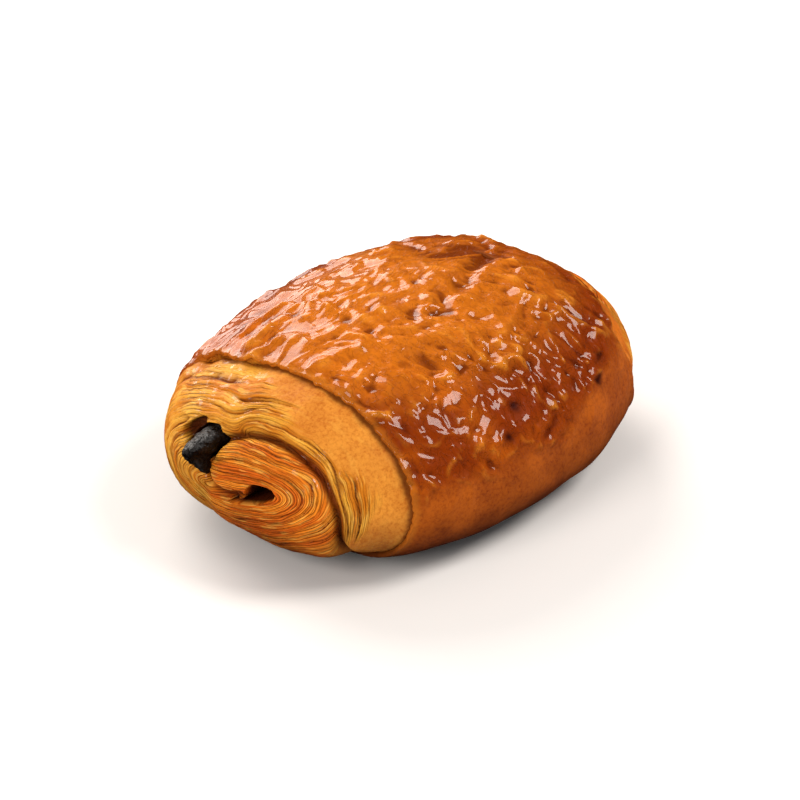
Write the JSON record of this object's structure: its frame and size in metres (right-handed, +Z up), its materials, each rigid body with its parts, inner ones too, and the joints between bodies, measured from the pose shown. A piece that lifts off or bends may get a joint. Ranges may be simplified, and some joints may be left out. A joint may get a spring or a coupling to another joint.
{
  "type": "pain au chocolat",
  "caption": "Rolled laminated-dough pastry with a glazed crust, open spiral ends and dark chocolate bars running through it.",
  "frame": {"origin": "middle of the flat base, under the centre of the bounding box", "axes": "+X along the roll and its chocolate bars, from the end that shows in the picture to the hidden end; +Y across the roll; +Z up"},
  "size_m": [0.1154, 0.0868, 0.0443],
  "materials": {
    "crust": "glazed golden brown crust over matte laminated dough",
    "chocolate": "dark baked chocolate, rough and slightly greasy"
  },
  "bodies": {
    "root": {"pastry": "crust", "chocolate_bar_outer": "chocolate", "chocolate_bar_inner": "chocolate"}
  },
  "joints": []
}
